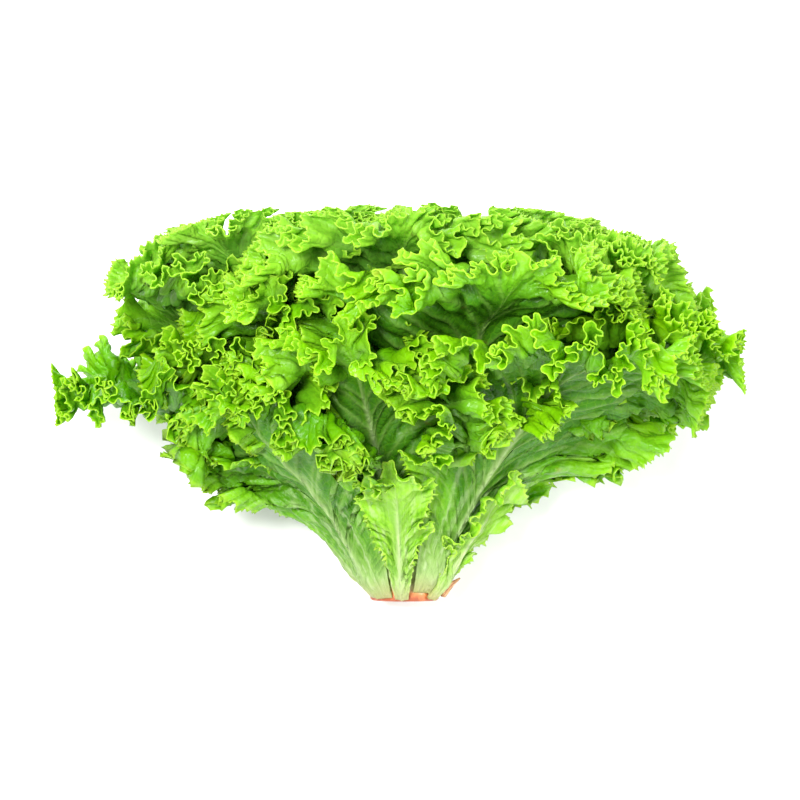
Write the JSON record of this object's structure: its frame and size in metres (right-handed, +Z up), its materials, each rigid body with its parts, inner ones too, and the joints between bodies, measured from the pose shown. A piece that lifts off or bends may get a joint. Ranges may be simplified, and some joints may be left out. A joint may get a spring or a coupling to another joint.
{
  "type": "head of lettuce",
  "caption": "Head of curly green leaf lettuce lying on its side, with frilled leaves fanning out from a short cut stump.",
  "frame": {"origin": "on the surface that the head lies on, under the middle of its box", "axes": "+Z up from that surface, +Y from the cut stump towards the crown, +X across the head, its widest way"},
  "size_m": [0.2954, 0.1798, 0.1735],
  "materials": {
    "leaf": "fresh green leaf, pale at the ribs and yellow-green at the frilled margin",
    "young_leaf": "young leaf, light yellow-green",
    "stump": "cream flesh with an orange-red dried cut edge",
    "dry_stub": "dry brown leaf foot"
  },
  "bodies": {
    "root": {"stump": "stump", "outer_leaf_01": "leaf", "outer_leaf_02": "leaf", "outer_leaf_03": "leaf", "outer_leaf_04": "leaf", "outer_leaf_05": "leaf", "outer_leaf_06": "leaf", "outer_leaf_07": "leaf", "outer_leaf_08": "leaf", "outer_leaf_09": "leaf", "outer_leaf_10": "leaf", "outer_leaf_11": "leaf", "outer_leaf_12": "leaf", "outer_leaf_13": "leaf", "outer_leaf_14": "leaf", "middle_leaf_01": "leaf", "middle_leaf_02": "leaf", "middle_leaf_03": "leaf", "middle_leaf_04": "leaf", "middle_leaf_05": "leaf", "middle_leaf_06": "leaf", "middle_leaf_07": "leaf", "middle_leaf_08": "leaf", "middle_leaf_09": "leaf", "middle_leaf_10": "leaf", "middle_leaf_11": "leaf", "middle_leaf_12": "leaf", "middle_leaf_13": "leaf", "heart_leaf_01": "leaf", "heart_leaf_02": "leaf", "heart_leaf_03": "leaf", "heart_leaf_04": "leaf", "heart_leaf_05": "leaf", "heart_leaf_06": "leaf", "heart_leaf_07": "leaf", "heart_leaf_08": "leaf", "heart_leaf_09": "leaf", "heart_leaf_10": "leaf", "heart_leaf_11": "leaf", "small_leaf_1": "young_leaf", "small_leaf_2": "young_leaf", "leaf_stub": "dry_stub"}
  },
  "joints": []
}
